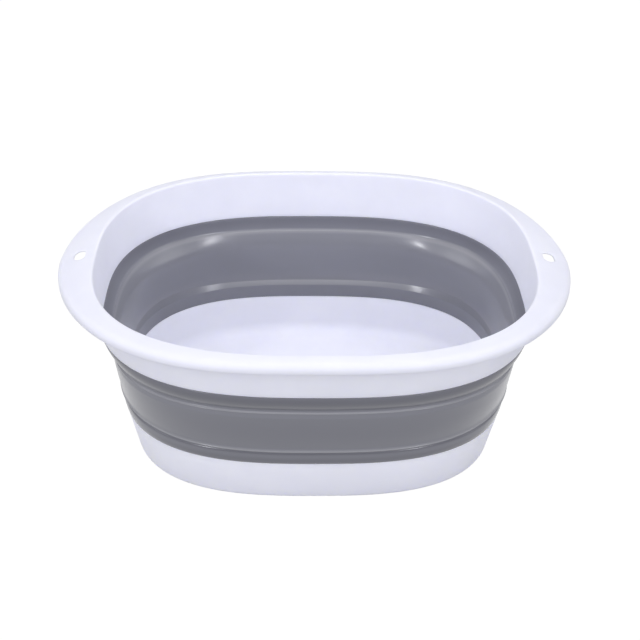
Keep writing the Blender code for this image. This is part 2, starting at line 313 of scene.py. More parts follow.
class BasinFinish(bpy.types.PropertyGroup):
    """Colours and textures of the two plastics."""

    white: shade("White", "Colour of the rim frame and the tray", (0.825, 0.829, 0.92))
    white_shade: shade("White Shade", "The white where the melt ran thin", (0.80, 0.804, 0.895))
    grey: shade("Grey", "Colour of the soft wall", (0.175, 0.178, 0.206))
    grey_bloom: shade("Grey Bloom", "The grey where the soft skin has bloomed", (0.195, 0.197, 0.224))
    # Painted highlight and wear: the pale grey laid along the fold crests, the bead, the inner notch and
    # sill, partly for stress whitening and partly as painted highlight, and as painted light on the inner
    # ledge
    grey_worn: shade(
        "Grey Worn", "The grey where folding has rubbed and stretched it pale", (0.25, 0.251, 0.27)
    )
    # Painted shade: the dark grey laid in the grooves, under the bead, along the seams and over the
    # down-facing collars and the outer band
    grey_soiled: shade("Grey Soiled", "The grey down in the grooves", (0.105, 0.106, 0.130))
    # Widths of the painted highlight and painted shade lines and bands on the soft wall
    wear_line: metres("Wear Line", "Half width of the pale lines along the folds", 0.0007)
    wear_spread: metres("Wear Spread", "Half width of the softer pale bands beside the folds", 0.0020)
    white_grain: metres("White Grain", "Spacing of the fine grain on the stiff plastic", 0.0009)
    grey_grain: metres("Grey Grain", "Spacing of the fine grain on the soft plastic", 0.0007)
    mottle: metres("Mottle", "Spacing of the slow variation in colour and gloss", 0.045)
    scuff: metres("Scuff", "Spacing of the hairline scuffs", 0.0022)


class StudioSettings(bpy.types.PropertyGroup):
    """Camera, lamps and surroundings."""

    distance: metres("Distance", "From the camera to what it looks at", 1.0)
    elevation: degrees("Elevation", "Height of the camera above the table, as an angle", 36.0)
    azimuth: degrees("Azimuth", "Turn of the camera round the basin", -1.6686)
    roll: degrees("Roll", "Turn of the camera about its line of sight", 1.1014)
    aside: metres("Aside", "How far right of the basin's middle the camera looks", 0.0052)
    target_height: metres("Target Height", "Height of what the camera looks at", 0.0718)
    lens: factor("Lens", "Focal length in millimetres", 64.8, unit="CAMERA")
    shift: factor("Shift", "How far the frame is shifted up, in frame widths", 0.0390625)
    light_tint: shade("Light Tint", "Colour of all the light", (0.955, 0.962, 1.0))
    world_light: factor("World Light", "Light from all round", 0.735)
    key_light: factor("Key Light", "Strength of the large soft light at the front", 0.45)
    side_light: factor("Side Light", "Strength of the low soft lights at the left and right", 0.38)
    glint_power: factor(
        "Glint Power", "Watts of each small soft box that the folds mirror", 2.5, unit="POWER"
    )
    beam_power: factor("Beam Power", "Watts of the gridded soft box overhead", 0.125, unit="POWER")
    floor_size: metres("Floor Size", "Side of the floor", 8.0)
    floor_shade: shade("Floor Shade", "Colour that the floor takes light with", (0.2, 0.2, 0.2))
    floor_glow: factor("Floor Glow", "Brightness that the floor shows the camera", 1.17)
    floor_show: factor(
        "Floor Show", "Share of the glow in what the camera sees of the floor", 0.85,
        max=1.0, subtype="FACTOR",
    )


def wall_stations(outline):
    """Return points round the wall's oval at table height, each with its outward normal."""
    half_length = outline.wall_half_length
    half_width = outline.wall_half_width
    power = outline.wall_power
    stations = []
    for index in range(outline.stations):
        turn = math.tau * index / outline.stations
        cosine = math.cos(turn)
        sine = math.sin(turn)
        stretch = (abs(cosine) ** power + abs(sine) ** power) ** (-1 / power)
        point = Vector((half_length * cosine * stretch, half_width * sine * stretch))
        along = math.copysign(abs(point.x / half_length) ** (power - 1), point.x) / half_length
        across = math.copysign(abs(point.y / half_width) ** (power - 1), point.y) / half_width
        stations.append((point, Vector((along, across)).normalized()))
    return stations


def rim_reach(outline, point, normal):
    """Return how far the rim's outer edge lies from a wall station, along its normal."""
    near = 0.0
    far = outline.rim_half_length
    for halving in range(REACH_HALVINGS):
        middle = (near + far) / 2
        reached = point + normal * middle
        along = abs(reached.x / outline.rim_half_length) ** outline.rim_end_power
        across = abs(reached.y / outline.rim_half_width) ** outline.rim_side_power
        if along + across < 1:
            near = middle
        else:
            far = middle
    return near


def arc(centre, radius, start, end, steps):
    """Return sharp section corners along an arc, from one angle to another."""
    corners = []
    for step in range(steps + 1):
        angle = start + (end - start) * step / steps
        corners.append((centre[0] + radius * math.cos(angle), centre[1] + radius * math.sin(angle), 0.0))
    return corners


def round_corners(corners, steps):
    """Return a closed section's points, with each corner rounded by the radius that it carries."""
    points = []
    for index, (offset, height, radius) in enumerate(corners):
        corner = Vector((offset, height))
        if radius == 0.0:
            points.append(corner)
            continue
        before = (Vector(corners[index - 1][:2]) - corner).normalized()
        after = (Vector(corners[(index + 1) % len(corners)][:2]) - corner).normalized()
        half = before.angle(after) / 2
        centre = corner + (before + after).normalized() * (radius / math.sin(half))
        start = (corner + before * (radius / math.tan(half)) - centre).normalized()
        end = (corner + after * (radius / math.tan(half)) - centre).normalized()
        points.extend(centre + start.slerp(end, step / steps) * radius for step in range(steps + 1))
    return points


def panel_corners(start, end, bulge, steps):
    """Return sharp corners along a panel that is swollen by bulge halfway, without its two ends."""
    corners = []
    for step in range(1, steps):
        share = step / steps
        offset = start[0] + (end[0] - start[0]) * share + 4 * bulge * share * (1 - share)
        corners.append((offset, start[1] + (end[1] - start[1]) * share, 0.0))
    return corners


def tongue_corners(seams, outer, height, drop, direction, play):
    """Return a tongue in the middle of a seam face, or its groove when play is more than zero."""
    middle = outer - seams.tongue_inset
    half = seams.tongue_wall / 2 + play
    tip = height + direction * (seams.tongue_depth - seams.groove_play + 2 * play)
    return [
        (middle + half, height, 0.0),
        (middle + half, tip, 0.0),
        (middle - half, tip, 0.0),
        (middle - half, height - drop, 0.0),
    ]


def rim_crest(scene):
    """Return the middle of the round between the rim's upright wall and its flange."""
    rim = scene.basin_rim
    height = scene.basin_heights.crest - rim.crest_radius
    lean = (height - scene.basin_heights.rim_foot) * math.tan(rim.draft)
    seam_inner = scene.basin_wall.top_offset - scene.basin_seams.wall
    return seam_inner + lean + rim.crest_radius / math.cos(rim.draft), height


def rim_section(scene, point, normal):
    """Section of the rim frame: upright wall, crest, falling flange and rolled lip."""
    rim = scene.basin_rim
    seams = scene.basin_seams
    foot = scene.basin_heights.rim_foot
    top_offset = scene.basin_wall.top_offset
    steps = scene.basin_outline.arc_steps
    reach = rim_reach(scene.basin_outline, point, normal)
    crest = rim_crest(scene)
    flat_angle = math.pi / 2 - rim.fall
    wall_angle = math.pi - rim.draft
    roll_offset = reach - rim.roll_radius
    drop = (roll_offset - crest[0]) * math.tan(rim.fall)
    round_change = (rim.crest_radius - rim.roll_radius) / math.cos(rim.fall)
    roll = (roll_offset, crest[1] - drop + round_change)
    lip_foot = roll[1] - rim.skirt
    corners = [(top_offset - seams.wall, foot - seams.inner_drop, seams.edge)]
    corners += arc(crest, rim.crest_radius, wall_angle, flat_angle, steps)
    corners += arc(roll, rim.roll_radius, flat_angle, 0.0, steps)
    corners += [(reach, lip_foot, rim.lip_edge), (reach - rim.wall, lip_foot, rim.lip_edge)]
    corners += arc(roll, rim.roll_radius - rim.wall, 0.0, flat_angle, steps)
    corners += arc(crest, rim.crest_radius - rim.wall, flat_angle, wall_angle, steps)
    corners.append((top_offset, foot, seams.edge))
    corners += tongue_corners(seams, top_offset, foot, seams.inner_drop, -1, 0.0)
    return round_corners(corners, scene.basin_outline.edge_steps)


def tray_offset(height):
    """Return the offset of the tray's outer face at a height."""
    return height * math.tan(TRAY_DRAFT)


def tray_section(scene, point, normal):
    """Section of the tray, from its underside round the foot, up the wall and down to the floor."""
    outline = scene.basin_outline
    tray = scene.basin_tray
    seams = scene.basin_seams
    top = scene.basin_heights.tray_top
    steps = outline.arc_steps
    tilt = (1 - math.sin(TRAY_DRAFT)) / math.cos(TRAY_DRAFT)
    floor = tray.foot_rise + tray.floor_wall
    foot_centre = (-tray.foot_radius * tilt, tray.foot_radius)
    foot_inner = foot_centre[0] - tray.foot_width
    wall_shift = seams.wall / math.cos(TRAY_DRAFT)
    fillet_centre = (tray_offset(floor) - wall_shift - tray.fillet * tilt, floor + tray.fillet)
    under_radius = tray.fillet + tray.floor_wall
    under_end = -math.acos((foot_inner - fillet_centre[0]) / under_radius)
    corners = arc(fillet_centre, under_radius, -math.pi / 2, under_end, UNDERSIDE_STEPS)
    corners.append((foot_inner, 0.0, tray.foot_edge))
    corners += arc(foot_centre, tray.foot_radius, -math.pi / 2, -TRAY_DRAFT, steps)
    corners.append((tray_offset(top), top, seams.edge))
    corners += tongue_corners(seams, tray_offset(top), top, tray.inner_drop, 1, 0.0)
    corners.append((tray_offset(top) - seams.wall, top - tray.inner_drop, seams.edge))
    corners += arc(fillet_centre, tray.fillet, -TRAY_DRAFT, -math.pi / 2, steps)
    return round_corners(corners, outline.edge_steps)


def round_offset(normal, side, end, corner):
    """Return an offset that turns from a side's to an end's, and swells between them by corner."""
    along = normal.x ** 2
    return side + (end - side) * along + 4 * corner * along * (1 - along)


def curve(start, start_handle, end_handle, end, steps):
    """Return sharp section corners along a curve, without its two ends."""
    points = interpolate_bezier(*[Vector(spot) for spot in (start, start_handle, end_handle, end)], steps)
    return [(spot.x, spot.y, 0.0) for spot in points[1:-1]]


def outer_wall(scene, head, bead):
    """Outer face of the soft wall, upwards: collar, groove, bead, band, crest, cove and collar."""
    outline = scene.basin_outline
    heights = scene.basin_heights
    wall = scene.basin_wall
    seams = scene.basin_seams
    foot = heights.tray_top + seams.parting
    top = heights.rim_foot - seams.parting
    seam_low = tray_offset(heights.tray_top)
    collar_edge = (seam_low + wall.lower_lean, heights.lower_fold - wall.groove)
    groove = collar_edge[0] - wall.groove_depth
    bead_centre = (bead - wall.bead, heights.lower_fold + wall.bead_rise)
    crease = heights.upper_fold - wall.crease_drop
    crest_centre = (head - wall.crest, crease)
    band_foot = (bead - wall.bead_swell, bead_centre[1] + BAND_START_SHARE * wall.bead)
    shoulder = (head - wall.crest_swell, crease - wall.shoulder_drop)
    cove = (head - wall.cove_step, crease + wall.cove_rise)
    collar_foot = (cove[0], cove[1] + wall.cove_height)

    corners = [(seam_low, foot, seams.edge)]
    corners += panel_corners((seam_low, foot), collar_edge, wall.collar_bulge, wall.collar_steps)
    corners += [(*collar_edge, wall.edge), (groove, collar_edge[1] + wall.edge, 0.0)]
    corners.append((groove, heights.lower_fold + wall.groove / 2, 0.0))
    corners += arc(bead_centre, wall.bead, -wall.bead_turn, wall.bead_turn, outline.arc_steps)
    corners += panel_corners(band_foot, shoulder, wall.band_bulge, wall.band_steps)
    corners.append((*shoulder, wall.shoulder))
    corners.append((shoulder[0] - wall.tuck, crease - wall.crest, wall.edge))
    corners += arc(crest_centre, wall.crest, 0.0, wall.crest_turn, outline.arc_steps)
    corners += [(*cove, wall.cove_round), (*collar_foot, wall.cove_round)]
    corners += panel_corners(collar_foot, (wall.top_offset, top), wall.upper_bulge, wall.collar_steps)
    corners.append((wall.top_offset, top, seams.edge))
    return corners


def inner_wall(scene, notch, foot_offset, sill):
    """Inner face of the soft wall, downwards: collar, notch, rounded ledge, band, ledge and collar."""
    outline = scene.basin_outline
    heights = scene.basin_heights
    wall = scene.basin_wall
    seams = scene.basin_seams
    foot = heights.tray_top + seams.parting
    seam_low = tray_offset(heights.tray_top)
    rim_foot = heights.rim_foot - seams.parting
    top = (wall.top_offset - seams.wall, rim_foot - seams.inner_drop)
    seam = (seam_low - seams.wall, foot - scene.basin_tray.inner_drop)
    collar_inner = seam[0] + wall.lower_lean - SILL_PULL_SHARE * wall.sill_swell
    collar_edge = (collar_inner, heights.lower_fold - wall.sill_drop)
    ledge = (notch[0] - wall.ledge_edge, notch[1] - wall.ledge_edge)
    ledge_foot = (foot_offset, notch[1] - wall.ledge_drop)
    depth = ledge[0] - ledge_foot[0]
    inward, down = LEDGE_HANDLE_SHARES
    ledge_handle = (ledge[0] - inward * depth, ledge[1] - down * wall.ledge_drop)
    foot_handle = (ledge_foot[0], ledge_foot[1] + FOOT_HANDLE_SHARE * wall.ledge_drop)

    corners = tongue_corners(seams, wall.top_offset, rim_foot, seams.inner_drop, -1, seams.groove_play)
    corners.append((*top, seams.edge))
    corners += panel_corners(top, notch, 0.0, wall.collar_steps)
    corners += [(*notch, 0.0), (*ledge, wall.ledge_edge / 3)]
    corners += curve(ledge, ledge_handle, foot_handle, ledge_foot, 2 * outline.arc_steps)
    corners += panel_corners(ledge_foot, sill, 0.0, wall.band_steps)
    corners += [(*sill, wall.edge), (*collar_edge, wall.sill_round)]
    corners += panel_corners(collar_edge, seam, 0.0, wall.collar_steps)
    corners.append((*seam, seams.edge))
    tray_drop = scene.basin_tray.inner_drop
    return corners + tongue_corners(seams, seam_low, foot, tray_drop, 1, seams.groove_play)[::-1]


def wall_section(scene, point, normal):
    """Section of the soft wall, up its outer face and down its inner face."""
    wall = scene.basin_wall
    head = round_offset(normal, *wall.head)
    bead = round_offset(normal, *wall.foot)
    sill_offset = round_offset(normal, *wall.foot[:2], wall.corner_sill) - wall.panel
    sill_rise = round_offset(normal, wall.sill_rise, wall.sill_rise, wall.sill_swell)
    sill = (sill_offset, scene.basin_heights.lower_fold + sill_rise)
    foot_offset = round_offset(normal, *wall.ledge_foot)
    swell = round_offset(normal, 0.0, wall.notch_swell, 0.0)
    notch_height = scene.basin_heights.upper_fold + wall.notch_rise + NOTCH_LIFT_SHARE * swell
    notch = (head - wall.cove_step - wall.web + swell, notch_height)
    corners = outer_wall(scene, head, bead) + inner_wall(scene, notch, foot_offset, sill)
    return round_corners(corners, scene.basin_outline.edge_steps)


def bridge(mesh, row, next_row):
    """Join two rings of corners with a band of faces."""
    for index, corner in enumerate(row):
        neighbour = (index + 1) % len(row)
        mesh.faces.new((corner, row[neighbour], next_row[neighbour], next_row[index]))


def loft(scene, section_at, closed):
    """Return a bmesh lofted round the oval, with the section's rows of corners from first to last."""
    lofted = bmesh.new()
    columns = []
    for point, normal in wall_stations(scene.basin_outline):
        section = section_at(scene, point, normal)
        spots = [(*(point + normal * offset), height) for offset, height in section]
        columns.append([lofted.verts.new(spot) for spot in spots])
    rows = list(zip(*columns))
    for row, next_row in zip(rows, rows[1:]):
        bridge(lofted, row, next_row)
    if closed:
        bridge(lofted, rows[-1], rows[0])
    return lofted, rows


def fill_middle(lofted, row, rings):
    """Fill a flat oval with rings that shrink towards its middle, and a fan in the middle."""
    edge = row
    for ring in range(1, rings + 1):
        share = 1 - ring / (rings + 1)
        spots = [(corner.co.x * share, corner.co.y * share, corner.co.z) for corner in row]
        inside = [lofted.verts.new(spot) for spot in spots]
        bridge(lofted, edge, inside)
        edge = inside
    middle = lofted.verts.new((0.0, 0.0, row[0].co.z))
    for index, corner in enumerate(edge):
        lofted.faces.new((corner, edge[(index + 1) % len(edge)], middle))


def add_gate_nub(scene, lofted):
    """Add the nub that the moulding gate leaves on the tray's edge, at the front middle."""
    radius = scene.basin_tray.nub
    height = scene.basin_heights.tray_top
    reach = scene.basin_outline.wall_half_width + tray_offset(height)
    place = Matrix.Translation((0.0, -reach + radius / 2, height))
    around, upwards = NUB_SEGMENTS
    bmesh.ops.create_uvsphere(lofted, u_segments=around, v_segments=upwards, radius=radius, matrix=place)


def link(name, data):
    """Add an object to the scene, and return it."""
    added = bpy.data.objects.new(name, data)
    bpy.context.scene.collection.objects.link(added)
    return added


def add_mesh(name, shape):
    """Turn a bmesh into a mesh object of the scene, and return it."""
    mesh = bpy.data.meshes.new(name)
    shape.to_mesh(mesh)
    shape.free()
    return link(name, mesh)


def smooth(mesh):
    """Shade a mesh smooth but for its real corners."""
    mesh.shade_smooth()
    mesh.set_sharp_from_angle(angle=SHARP_ANGLE)


def add_piece(name, lofted, material):
    """Give a bmesh an object of its own, with its material."""
    bmesh.ops.recalc_face_normals(lofted, faces=lofted.faces)
    piece = add_mesh(name, lofted)
    piece.data.materials.append(material)
    smooth(piece.data)
    return piece


def hole_profile(rim):
    """Return the hole's radial growth and depth, down its axis, flared at both surfaces."""
    edge = rim.hole_edge
    sine = math.sin(HOLE_FLARE)
    cosine = math.cos(HOLE_FLARE)
    profile = [(edge * (1 - cosine + sine), edge * (sine + cosine - 1))]
    for step in range(HOLE_EDGE_STEPS + 1):
        turn = HOLE_FLARE * (1 - step / HOLE_EDGE_STEPS)
        profile.append((edge * (1 - math.cos(turn)), edge * (math.sin(turn) - 1)))
    bottom = [(growth, -rim.wall - depth) for growth, depth in profile]
    return profile + bottom[::-1]


def add_hole_cutter(scene, side):
    """Add the flared slot that one hanging hole is cut with, square to the sloping flange."""
    outline = scene.basin_outline
    rim = scene.basin_rim
    straight = (rim.hole_length - rim.hole_width) / 2
    cut = bmesh.new()
    rows = []
    for growth, depth in hole_profile(rim):
        radius = rim.hole_width / 2 + growth
        row = []
        for end in (1, -1):
            for step in range(HOLE_STEPS + 1):
                turn = math.pi * step / HOLE_STEPS
                along = straight + radius * math.sin(turn)
                row.append(cut.verts.new((end * radius * math.cos(turn), end * along, depth)))
        rows.append(row)
    for row, next_row in zip(rows, rows[1:]):
        bridge(cut, row, next_row)
    cut.faces.new(rows[0])
    cut.faces.new(rows[-1])
    bmesh.ops.recalc_face_normals(cut, faces=cut.faces)
    cutter = add_mesh("hole_cutter", cut)
    crest, crest_height = rim_crest(scene)
    station = Vector((outline.wall_half_length, 0.0))
    offset = rim_reach(outline, station, Vector((1.0, 0.0))) - rim.hole_inset
    height = crest_height + rim.crest_radius / math.cos(rim.fall) - (offset - crest) * math.tan(rim.fall)
    place = Vector((side * (station.x + offset), 0.0, height))
    cutter.matrix_world = Matrix.Translation(place) @ Matrix.Rotation(side * rim.fall, 4, "Y")
    return cutter


def cut_hanging_holes(scene, piece):
    """Cut both hanging holes into the rim frame's mesh."""
    cutters = [add_hole_cutter(scene, side) for side in (-1, 1)]
    for cutter in cutters:
        cut = piece.modifiers.new("hanging_hole", "BOOLEAN")
        cut.operation = "DIFFERENCE"
        cut.solver = "EXACT"
        cut.object = cutter
    evaluated = piece.evaluated_get(bpy.context.evaluated_depsgraph_get())
    drilled = bpy.data.meshes.new_from_object(evaluated)
    piece.modifiers.clear()
    piece.data = drilled
    for cutter in cutters:
        bpy.data.objects.remove(cutter, do_unlink=True)
    smooth(drilled)


def add_waves(scene, piece):
    """Let the soft skin wander a little from its true shape, except along its seams."""
    wall = scene.basin_wall
    heights = scene.basin_heights
    half_length = scene.basin_outline.wall_half_length
    half_width = scene.basin_outline.wall_half_width
    for corner in piece.data.vertices:
        place = corner.co
        low = (place.z - heights.tray_top) / wall.wave_length
        high = (heights.rim_foot - place.z) / wall.wave_length
        hold = max(0.0, min(1.0, 2 * low, 2 * high))
        outward = Vector((place.x / half_length ** 2, place.y / half_width ** 2, 0.0)).normalized()
        around = Vector((place.x, place.y, 0.0)).normalized() * half_width
        spot = Vector((around.x, around.y, place.z * WAVE_STRETCH)) / wall.wave_length
        corner.co = place + outward * (noise.noise(spot) * wall.wave_height * hold)


def wear_marks(scene):
    """Return each face's lines of painted light, painted shade and rubbing: height, half width and amount,
    which is pale above zero and dark below.
    """
    heights = scene.basin_heights
    wall = scene.basin_wall
    finish = scene.basin_finish
    line = finish.wear_line
    spread = finish.wear_spread
    crest = heights.upper_fold - wall.crease_drop
    bead = heights.lower_fold + wall.bead_rise
    notch = heights.upper_fold + wall.notch_rise
    sill = heights.lower_fold + wall.sill_rise
    # Outer face: painted shade over the down-facing upper collar and the band, pale lines at the crest,
    # shoulder and bead that are painted highlight and partly stress whitening, and painted shade in the
    # groove, at the tray seam and on the lower collar
    outer = [
        (heights.rim_foot - 3 * wall.cove_height, 4.5 * wall.cove_height, -0.85),
        ((crest + bead) / 2, (crest - bead) / 2, -0.3),
        (crest + wall.cove_rise / 2, line, 1.0),
        (crest - wall.shoulder_drop / 2, spread, 0.35),
        (bead + line / 2, line, 1.0),
        (heights.lower_fold - wall.groove, 2 * line, -0.8),
        (heights.tray_top, line, -0.5),
        (heights.tray_top + 2 * spread, 2 * spread, -0.7),
    ]
    # Inner face: painted highlight at the notch and the sill, painted light on the rounded ledge and above
    # the sill, and painted shade just below the rim seam
    inner = [
        (notch - 2 * line, 2 * line, 1.0),
        (notch - wall.ledge_drop / 2, wall.ledge_drop / 2, 0.3),
        (sill - line, 2 * line, 0.6),
        (sill + spread, 3 * spread, 0.3),
        (heights.rim_foot - 2 * spread, 3 * spread, -0.4),
    ]
    return outer, inner


def mark_wall(scene, piece, section):
    """Keep each corner's own place, and how much painted light, painted shade and rubbing it takes, for the
    material.
    """
    outer, inner = wear_marks(scene)
    top_row = max(range(len(section)), key=lambda row: section[row].y)
    places = piece.data.attributes.new("rest_place", "FLOAT_VECTOR", "POINT")
    painted_light_and_wear_values = piece.data.attributes.new("painted_light_and_wear", "FLOAT", "POINT")
    for corner, place, painted_light_and_wear in zip(piece.data.vertices, places.data, painted_light_and_wear_values.data):
        place.vector = corner.co
        marks = outer if corner.index % len(section) <= top_row else inner
        painted_light_and_wear.value = sum(
            amount * math.exp(-((corner.co.z - height) / width) ** 2) for height, width, amount in marks
        )


def new_tree(material):
    """Clear a material's nodes and return its tree, with a Principled shader wired to the output."""
    material.use_nodes = True
    tree = material.node_tree
    tree.nodes.clear()
    output = tree.nodes.new("ShaderNodeOutputMaterial")
    shader = tree.nodes.new("ShaderNodeBsdfPrincipled")
    tree.links.new(shader.outputs["BSDF"], output.inputs["Surface"])
    return tree, shader


def new_group(name, spacings, results):
    """Return a shader group that takes a place and spacings in it, and the group's two end nodes."""
    group = bpy.data.node_groups.new(name, "ShaderNodeTree")
    group.interface.new_socket(name="Place", in_out="INPUT", socket_type="NodeSocketVector")
    for title, spacing in spacings.items():
        socket = group.interface.new_socket(name=title, in_out="INPUT", socket_type="NodeSocketFloat")
        socket.default_value = spacing
    for title in results:
        group.interface.new_socket(name=title, in_out="OUTPUT", socket_type="NodeSocketFloat")
    return group, group.nodes.new("NodeGroupInput"), group.nodes.new("NodeGroupOutput")


def wire(tree, value, socket):
    """Link a value to a socket, or set the socket to it where it is a plain number or colour."""
    if isinstance(value, bpy.types.NodeSocket):
        tree.links.new(value, socket)
    elif socket.type == "RGBA":
        socket.default_value = (*value, 1.0)
    else:
        socket.default_value = value


def set_sockets(node, values):
    """Set a node's own sockets to plain values, by name."""
    for title, value in values.items():
        wire(None, value, node.inputs[title])


def math_node(tree, operation, first, second):
    """Add a math node whose inputs are sockets or plain numbers, and return its output."""
    node = tree.nodes.new("ShaderNodeMath")
    node.operation = operation
    wire(tree, first, node.inputs[0])
    wire(tree, second, node.inputs[1])
    return node.outputs["Value"]


def scaled_place(tree, given, spacing):
    """Return a group's place, measured in one of its spacings."""
    scale = tree.nodes.new("ShaderNodeVectorMath")
    scale.operation = "SCALE"
    tree.links.new(given.outputs["Place"], scale.inputs[0])
    tree.links.new(math_node(tree, "DIVIDE", 1.0, given.outputs[spacing]), scale.inputs["Scale"])
    return scale.outputs["Vector"]


def noise_node(tree, place, detail, roughness):
    """Add a noise texture of scale one, and return its value."""
    texture = tree.nodes.new("ShaderNodeTexNoise")
    set_sockets(texture, {"Scale": 1.0, "Detail": detail, "Roughness": roughness})
    tree.links.new(place, texture.inputs["Vector"])
    return texture.outputs["Fac"]


def range_node(tree, value, span, result_span):
    """Map a value smoothly from one span to another, clamped, and return the result."""
    node = tree.nodes.new("ShaderNodeMapRange")
    node.interpolation_type = "SMOOTHSTEP"
    tree.links.new(value, node.inputs["Value"])
    set_sockets(node, {"From Min": span[0], "From Max": span[1]})
    set_sockets(node, {"To Min": result_span[0], "To Max": result_span[1]})
    return node.outputs["Result"]


def moulded_grain():
    """The fine grain that a moulding takes from its tool, and the slow mottle of its melt."""
    spacings = {"Grain Spacing": 0.001, "Mottle Spacing": 0.04}
    group, given, result = new_group("moulded_grain", spacings, ("Grain", "Mottle"))
    grain = noise_node(group, scaled_place(group, given, "Grain Spacing"), detail=3.0, roughness=0.6)
    mottle = noise_node(group, scaled_place(group, given, "Mottle Spacing"), detail=4.0, roughness=0.55)
    group.links.new(grain, result.inputs["Grain"])
    group.links.new(range_node(group, mottle, MOTTLE_SPAN, WHOLE_SPAN), result.inputs["Mottle"])
    return group


def handling_scuffs():
    """Hairline scuffs that lie in two directions and gather in patches."""
    spacings = {"Scuff Spacing": 0.002, "Patch Spacing": 0.04}
    group, given, result = new_group("handling_scuffs", spacings, ("Scuffs",))
    patches = noise_node(group, scaled_place(group, given, "Patch Spacing"), detail=2.0, roughness=0.5)
    fine_place = scaled_place(group, given, "Scuff Spacing")
    hairs = None
    for turn, stretch_share in HAIR_SETS:
        turned = group.nodes.new("ShaderNodeMapping")
        turned.inputs["Rotation"].default_value = (turn / 2, turn / 3, turn)
        turned.inputs["Scale"].default_value = (stretch_share, 1.0, 1.0)
        group.links.new(fine_place, turned.inputs["Vector"])
        streaks = noise_node(group, turned.outputs["Vector"], detail=1.0, roughness=0.5)
        hair = range_node(group, streaks, HAIR_SPAN, WHOLE_SPAN)
        hairs = hair if hairs is None else math_node(group, "MAXIMUM", hairs, hair)
    worn = range_node(group, patches, PATCH_SPAN, WHOLE_SPAN)
    group.links.new(math_node(group, "MULTIPLY", hairs, worn), result.inputs["Scuffs"])
    return group


def add_group(tree, maker, place, values):
    """Place a shared group in a material, with its own values. Its maker builds it once."""
    node = tree.nodes.new("ShaderNodeGroup")
    node.node_tree = bpy.data.node_groups.get(maker.__name__) or maker()
    tree.links.new(place, node.inputs["Place"])
    set_sockets(node, values)
    return node


def mix_colours(tree, mask, first, second):
    """Mix two colours by a mask, and return the mixed colour."""
    node = tree.nodes.new("ShaderNodeMix")
    node.data_type = "RGBA"
    tree.links.new(mask, node.inputs["Factor"])
    colour_sockets = [socket for socket in node.inputs if socket.type == "RGBA"]
    for socket, colour in zip(colour_sockets, (first, second)):
        wire(tree, colour, socket)
    return [socket for socket in node.outputs if socket.type == "RGBA"][0]


def add_texture(tree, shader, place, finish, grain_spacing, grain_depth, gloss_span, scuffing):
    """Wire a moulding's grain and scuffs to its roughness and normal, and return its mottle."""
    spacings = {"Grain Spacing": grain_spacing, "Mottle Spacing": finish.mottle}
    grain = add_group(tree, moulded_grain, place, spacings)
    spacings = {"Scuff Spacing": finish.scuff, "Patch Spacing": finish.mottle}
    scuffs = add_group(tree, handling_scuffs, place, spacings).outputs["Scuffs"]
    gloss = range_node(tree, grain.outputs["Mottle"], WHOLE_SPAN, gloss_span)
    scuffed = math_node(tree, "MULTIPLY", scuffs, scuffing)
    tree.links.new(math_node(tree, "ADD", gloss, scuffed), shader.inputs["Roughness"])
    furrows = math_node(tree, "MULTIPLY", scuffs, -FURROW_SHARE)
    bump = tree.nodes.new("ShaderNodeBump")
    set_sockets(bump, {"Strength": BUMP_STRENGTH, "Distance": grain_depth})
    tree.links.new(math_node(tree, "ADD", grain.outputs["Grain"], furrows), bump.inputs["Height"])
    tree.links.new(bump.outputs["Normal"], shader.inputs["Normal"])
    return grain.outputs["Mottle"]


def white_plastic(scene):
    """Satin moulded polypropylene: cool white, faintly see-through, with a fine even grain."""
    found = bpy.data.materials.get("satin_white_plastic")
    if found:
        return found
    finish = scene.basin_finish
    material = bpy.data.materials.new("satin_white_plastic")
    tree, shader = new_tree(material)
    place = tree.nodes.new("ShaderNodeTexCoord").outputs["Object"]
    mottle = add_texture(
        tree, shader, place, finish,
        grain_spacing=finish.white_grain, grain_depth=0.00004, gloss_span=(0.48, 0.58), scuffing=0.10,
    )
    tree.links.new(mix_colours(tree, mottle, finish.white, finish.white_shade), shader.inputs["Base Color"])
    set_sockets(shader, {"IOR": 1.49, "Specular IOR Level": 0.3})
    set_sockets(shader, {"Subsurface Weight": 0.5, "Subsurface Scale": 0.006})
    shader.inputs["Subsurface Radius"].default_value = (1.0, 1.0, 0.8)
    return material


def grey_elastomer(scene):
    """Semi-gloss moulded elastomer: slightly bloomed, paler where its hinges have been bent, with painted
    highlights along the folds and painted shade in its grooves and on its down-facing collars.
    """
    finish = scene.basin_finish
    material = bpy.data.materials.new("semi_gloss_grey_elastomer")
    tree, shader = new_tree(material)
    rest = tree.nodes.new("ShaderNodeAttribute")
    rest.attribute_name = "rest_place"
    painted_light_and_wear_node = tree.nodes.new("ShaderNodeAttribute")
    painted_light_and_wear_node.attribute_name = "painted_light_and_wear"
    painted_light_and_wear = painted_light_and_wear_node.outputs["Fac"]
    mottle = add_texture(
        tree, shader, rest.outputs["Vector"], finish,
        grain_spacing=finish.grey_grain, grain_depth=0.00005, gloss_span=(0.19, 0.26), scuffing=0.12,
    )
    # The pale mask lays painted highlight and painted light, partly standing for stress whitening at the
    # hinges; the dark mask lays painted shade
    pale = math_node(tree, "MAXIMUM", painted_light_and_wear, 0.0)
    painted_shade_mask = math_node(tree, "MAXIMUM", math_node(tree, "MULTIPLY", painted_light_and_wear, -1.0), 0.0)
    bloomed = mix_colours(tree, mottle, finish.grey, finish.grey_bloom)
    paler = mix_colours(tree, pale, bloomed, finish.grey_worn)
    tree.links.new(mix_colours(tree, painted_shade_mask, paler, finish.grey_soiled), shader.inputs["Base Color"])
    set_sockets(shader, {"IOR": 1.50, "Sheen Weight": 0.15, "Sheen Roughness": 0.45})
    return material


